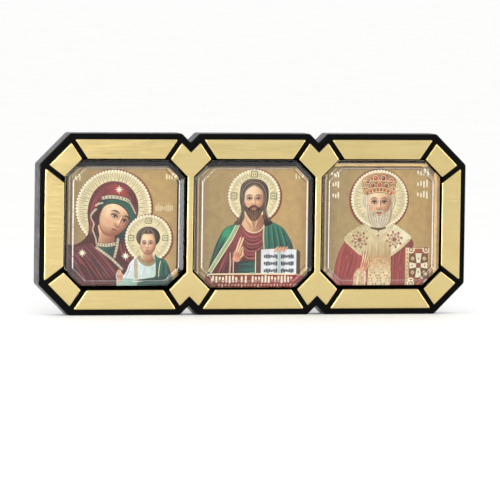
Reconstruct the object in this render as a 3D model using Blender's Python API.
"""Triptych icon: a black moulded frame of three joined octagons with gold plates on its front.

Each octagon has a window, and in it a printed card lies under a clear cover with bevelled edges.
X runs along the row, the front faces -Y and Z is up. The origin is under the middle of the object.
An outline is drawn in the plane of the front, as points (x, z) measured from the row's centre.
"""
import math

import bpy

MM = 0.001

# Three equal octagons stand side by side at this pitch
PITCH = 37.5 * MM
PLACES = {"left": -PITCH, "centre": 0.0, "right": PITCH}

# An octagon is (half width, half height, diagonal): its sloping sides lie on |x| + |z| = diagonal
OUTLINE = (25.05 * MM, 25.9 * MM, 42.1 * MM)
WINDOW = (17.85 * MM, 18.6 * MM, 31.35 * MM)

# The cards and the covers are cut to slightly different sizes
CARDS = {
    "left": (15.6 * MM, 16.45 * MM, 29.2 * MM),
    "centre": (16.0 * MM, 16.6 * MM, 29.2 * MM),
    "right": (16.75 * MM, 17.1 * MM, 30.0 * MM),
}
COVERS = {
    "left": (17.5 * MM, 17.85 * MM, 30.5 * MM),
    "centre": (17.5 * MM, 18.1 * MM, 30.65 * MM),
    "right": (17.4 * MM, 17.9 * MM, 30.5 * MM),
}
TABLE = (15.35 * MM, 16.1 * MM, 27.8 * MM)

# Gold plates: a band round each window, cut by grooves that leave from the window's corners
BAND = 5.6 * MM
GROOVE = 1.3 * MM
TOP_GROOVE_ANGLE = math.radians(55.5)
SIDE_GROOVE_ANGLE = math.radians(37.0)
PLATE_THICKNESS = 0.45 * MM
PLATE_BEVEL = 0.35 * MM
PLATE_CORNER_RADIUS = 0.2 * MM

# Depths, measured along Y from the front of the gold plates
DEPTH = 8.0 * MM
GAP = 0.3 * MM
COVER_THICKNESS = 3.0 * MM
CARD_THICKNESS = 0.5 * MM
BACK_FIELD_DEPTH = 0.8 * MM

# How far a cover's facets fall back, and widths in the plane of the front
FACET_DROP = 0.9 * MM
COVER_CORNER_RADIUS = 0.5 * MM
BACK_FIELD_INSET = 2.4 * MM

# The moulding's rounded edges and corners
FRONT_EDGE_RADIUS = 0.5 * MM
BACK_EDGE_RADIUS = 0.8 * MM
FRAME_CORNER_RADIUS = 1.2 * MM
NOTCH_RADIUS = 0.4 * MM

# How far each card, cover and cover's table lies off the middle of its window, as (x, z)
CARD_SHIFT = {
    "left": (-0.3 * MM, -0.6 * MM),
    "centre": (-0.2 * MM, -0.8 * MM),
    "right": (0.55 * MM, -0.2 * MM),
}
COVER_SHIFT = {
    "left": (0.0, 0.4 * MM),
    "centre": (0.05 * MM, 0.05 * MM),
    "right": (0.0, 0.35 * MM),
}
TABLE_SHIFT = {
    "left": (0.05 * MM, 0.05 * MM),
    "centre": (0.05 * MM, -0.1 * MM),
    "right": (-0.25 * MM, 0.0),
}

FRONT = -DEPTH / 2
BACK = DEPTH / 2
FRAME_FRONT = FRONT + PLATE_THICKNESS + GAP
COVER_BACK = FRONT + COVER_THICKNESS
CARD_FRONT = COVER_BACK + GAP
CARD_BACK = CARD_FRONT + CARD_THICKNESS
POCKET_FLOOR = CARD_BACK + GAP
MIDDLE_HEIGHT = OUTLINE[1]
CUTTER_OVERRUN = 2.0 * MM
ARC_STEPS = 3


def clear_scene():
    for thing in list(bpy.data.objects):
        bpy.data.objects.remove(thing, do_unlink=True)


def make_material(name, colour, roughness, metallic=0.0, transmission=0.0, ior=1.5):
    material = bpy.data.materials.new(name)
    material.use_nodes = True
    shader = material.node_tree.nodes["Principled BSDF"]
    shader.inputs["Base Color"].default_value = (*colour, 1.0)
    shader.inputs["Roughness"].default_value = roughness
    shader.inputs["Metallic"].default_value = metallic
    shader.inputs["Transmission Weight"].default_value = transmission
    shader.inputs["IOR"].default_value = ior
    material.diffuse_color = (*colour, 1.0)
    return material


def grow(octagon, width):
    """Return the octagon whose sides all lie a given width further out."""
    half_width, half_height, diagonal = octagon
    return (half_width + width, half_height + width, diagonal + width * math.sqrt(2))


def octagon_outline(octagon):
    """Return the octagon's corners, counterclockwise from the lower right one."""
    half_width, half_height, diagonal = octagon
    side = diagonal - half_width
    top = diagonal - half_height
    right = [(half_width, -side), (half_width, side), (top, half_height)]
    left = [(-x, z) for x, z in reversed(right)]
    return right + left + [(-top, -half_height), (top, -half_height)]


def row_outline(octagon):
    """Return the outline of three joined octagons, counterclockwise from the lower right."""
    half_width, half_height, diagonal = octagon
    side = diagonal - half_width
    top = diagonal - half_height
    notch = (PITCH / 2, diagonal - PITCH / 2)
    upper_right = [(PITCH + half_width, side), (PITCH + top, half_height),
                   (PITCH - top, half_height), notch, (top, half_height)]
    upper = upper_right + [(-x, z) for x, z in reversed(upper_right)]
    return upper + [(x, -z) for x, z in reversed(upper)]


def inset(points, width):
    """Move each side of a counterclockwise outline inwards, with mitred corners."""
    moved = []
    for before, here, after in zip(points[-1:] + points[:-1], points, points[1:] + points[:1]):
        first = direction(before, here)
        second = direction(here, after)
        scale = width / (1 + first[0] * second[0] + first[1] * second[1])
        moved.append((here[0] - (first[1] + second[1]) * scale,
                      here[1] + (first[0] + second[0]) * scale))
    return moved


def direction(start, end):
    length = math.dist(start, end)
    return ((end[0] - start[0]) / length, (end[1] - start[1]) / length)


def round_corners(points, convex_radius, hollow_radius=None, steps=ARC_STEPS):
    """Replace each corner by an arc that touches both of its sides."""
    rounded = []
    for before, here, after in zip(points[-1:] + points[:-1], points, points[1:] + points[:1]):
        to_before = direction(here, before)
        to_after = direction(here, after)
        turn = to_before[0] * to_after[1] - to_before[1] * to_after[0]
        radius = convex_radius if turn < 0 else hollow_radius or convex_radius
        dot = to_before[0] * to_after[0] + to_before[1] * to_after[1]
        half_angle = math.acos(max(-1.0, min(1.0, dot))) / 2
        to_centre = (to_before[0] + to_after[0], to_before[1] + to_after[1])
        distance = radius / math.sin(half_angle) / math.hypot(*to_centre)
        centre = (here[0] + to_centre[0] * distance, here[1] + to_centre[1] * distance)
        reach = radius / math.tan(half_angle)
        start = (here[0] + to_before[0] * reach, here[1] + to_before[1] * reach)
        sweep = (math.pi - 2 * half_angle) * (1 if turn < 0 else -1)
        for step in range(steps + 1):
            angle = sweep * step / steps
            x, z = start[0] - centre[0], start[1] - centre[1]
            rounded.append((centre[0] + x * math.cos(angle) - z * math.sin(angle),
                            centre[1] + x * math.sin(angle) + z * math.cos(angle)))
    return rounded


def moved_outline(points, x_shift, z_shift=0.0):
    return [(x + x_shift, z + z_shift) for x, z in points]


def loft(name, rings, material):
    """Make a closed solid through outlines of equal length, each given as (depth y, points)."""
    count = len(rings[0][1])
    corners = [(x, y, z + MIDDLE_HEIGHT) for y, points in rings for x, z in points]
    front = tuple(range(count))
    back = tuple(reversed(range((len(rings) - 1) * count, len(rings) * count)))
    faces = [front, back]
    for ring in range(len(rings) - 1):
        near, far = ring * count, (ring + 1) * count
        for i in range(count):
            j = (i + 1) % count
            faces.append((near + i, far + i, far + j, near + j))
    mesh = bpy.data.meshes.new(name)
    mesh.from_pydata(corners, [], faces)
    mesh.update()
    mesh.shade_smooth()
    mesh.set_sharp_from_angle(angle=math.radians(30))
    if material:
        mesh.materials.append(material)
    thing = bpy.data.objects.new(name, mesh)
    bpy.context.scene.collection.objects.link(thing)
    return thing


def quarter_round(radius, steps=ARC_STEPS):
    """Return (rise, inset) pairs of a rounded edge, from its flat face to the wall."""
    angles = [math.pi / 2 * step / steps for step in range(steps + 1)]
    return [(radius * (1 - math.cos(angle)), radius * (1 - math.sin(angle))) for angle in angles]


def cut(body, name, outline, near, far):
    """Cut a straight-sided recess of the given outline out of a body."""
    cutter = loft(name, [(near, outline), (far, outline)], None)
    cutter.hide_render = True
    cutter.display_type = "WIRE"
    modifier = body.modifiers.new(name, "BOOLEAN")
    modifier.operation = "DIFFERENCE"
    modifier.solver = "EXACT"
    modifier.object = cutter


def make_frame(material):
    """The black moulding, with a pocket at each window and a shallow field behind it."""
    outline = row_outline(OUTLINE)
    rings = []
    for rise, width in quarter_round(FRONT_EDGE_RADIUS):
        rings.append((FRAME_FRONT + rise, width))
    for rise, width in reversed(quarter_round(BACK_EDGE_RADIUS)):
        rings.append((BACK - rise, width))
    frame = loft("frame", [
        (y, round_corners(inset(outline, width), FRAME_CORNER_RADIUS, NOTCH_RADIUS))
        for y, width in rings], material)
    pocket = octagon_outline(WINDOW)
    field = round_corners(octagon_outline(grow(WINDOW, -BACK_FIELD_INSET)), FRAME_CORNER_RADIUS)
    for place, x in PLACES.items():
        cut(frame, "pocket_" + place, moved_outline(pocket, x),
            FRAME_FRONT - CUTTER_OVERRUN, POCKET_FLOOR)
        cut(frame, "field_" + place, moved_outline(field, x),
            BACK - BACK_FIELD_DEPTH, BACK + CUTTER_OVERRUN)


def corner_plate_points():
    """Return the four corners of the upper right corner plate of an octagon."""
    half_width, half_height, diagonal = WINDOW
    top_corner = (diagonal - half_height, half_height)
    side_corner = (half_width, diagonal - half_width)
    outer = []
    for corner, angle in ((side_corner, SIDE_GROOVE_ANGLE), (top_corner, TOP_GROOVE_ANGLE)):
        reach = BAND * math.sqrt(2) / (math.cos(angle) + math.sin(angle))
        outer.append((corner[0] + reach * math.cos(angle), corner[1] + reach * math.sin(angle)))
    return [side_corner, outer[0], outer[1], top_corner]


def top_plate_points():
    half_width, half_height, diagonal = WINDOW
    short = diagonal - half_height - GROOVE / math.sin(TOP_GROOVE_ANGLE)
    long = short + BAND / math.tan(TOP_GROOVE_ANGLE)
    return [(-short, half_height), (short, half_height),
            (long, half_height + BAND), (-long, half_height + BAND)]


def side_plate_points():
    half_width, half_height, diagonal = WINDOW
    short = diagonal - half_width - GROOVE / math.cos(SIDE_GROOVE_ANGLE)
    long = short + BAND * math.tan(SIDE_GROOVE_ANGLE)
    return [(half_width, -short), (half_width + BAND, -long),
            (half_width + BAND, long), (half_width, short)]


def hourglass_points():
    """Return the outline of the plate between two windows, measured from its own middle."""
    side_corner, _, tip, top_corner = corner_plate_points()
    half = PITCH / 2
    notch = (0.0, grow(WINDOW, BAND)[2] - half)
    upper_right = [(half - x, z) for x, z in (side_corner, top_corner, tip)]
    upper = upper_right + [notch] + [(-x, z) for x, z in reversed(upper_right)]
    return upper + [(x, -z) for x, z in reversed(upper)]


def turned_over(points, x_sign, z_sign):
    """Mirror an outline and keep it counterclockwise."""
    mirrored = [(x * x_sign, z * z_sign) for x, z in points]
    return mirrored if x_sign * z_sign > 0 else mirrored[::-1]


def make_plate(name, points, material):
    """One thin gold plate with a rounded bevel round its front."""
    rings = [(FRONT + rise, width) for rise, width in quarter_round(PLATE_BEVEL, 2)]
    rings.append((FRONT + PLATE_THICKNESS, 0.0))
    loft("gold_plate_" + name, [
        (y, round_corners(inset(points, width), PLATE_CORNER_RADIUS, steps=1))
        for y, width in rings], material)


def make_plates(material):
    top = top_plate_points()
    for place, x in PLACES.items():
        make_plate(place + "_top", moved_outline(top, x), material)
        make_plate(place + "_bottom", moved_outline(turned_over(top, 1, -1), x), material)
    for place, sign in (("left", -1), ("right", 1)):
        x = PLACES[place]
        side = turned_over(side_plate_points(), sign, 1)
        make_plate(place + "_side", moved_outline(side, x), material)
        for level, z_sign in (("upper", 1), ("lower", -1)):
            corner = turned_over(corner_plate_points(), sign, z_sign)
            make_plate(place + "_" + level + "_corner", moved_outline(corner, x), material)
    hourglass = hourglass_points()
    make_plate("left_to_centre", moved_outline(hourglass, -PITCH / 2), material)
    make_plate("centre_to_right", moved_outline(hourglass, PITCH / 2), material)


def placed(octagon, x, shift):
    """Return an octagon's outline, moved to a window and then off its middle."""
    return moved_outline(octagon_outline(octagon), x + shift[0], shift[1])


def make_cover(place, x, material):
    """One clear cover: a flat table, a bevelled facet all round, and straight walls."""
    table = placed(TABLE, x, TABLE_SHIFT[place])
    edge = placed(COVERS[place], x, COVER_SHIFT[place])
    rings = [(FRONT, table), (FRONT + FACET_DROP, edge), (COVER_BACK, edge)]
    loft("cover_" + place, [
        (y, round_corners(points, COVER_CORNER_RADIUS)) for y, points in rings], material)


def make_picture(place, x, material):
    """One printed card, a little off the middle of its window."""
    outline = placed(CARDS[place], x, CARD_SHIFT[place])
    loft("picture_" + place, [(CARD_FRONT, outline), (CARD_BACK, outline)], material)


def main():
    clear_scene()
    black = make_material("black_plastic", (0.010, 0.012, 0.014), 0.28)
    gold = make_material("gold_plate", (0.80, 0.62, 0.27), 0.2, metallic=1.0)
    clear = make_material("clear_plastic", (1.0, 1.0, 1.0), 0.02, transmission=1.0, ior=1.49)
    print_card = make_material("printed_card", (0.45, 0.31, 0.15), 0.5)
    make_frame(black)
    make_plates(gold)
    for place, x in PLACES.items():
        make_picture(place, x, print_card)
        make_cover(place, x, clear)


main()
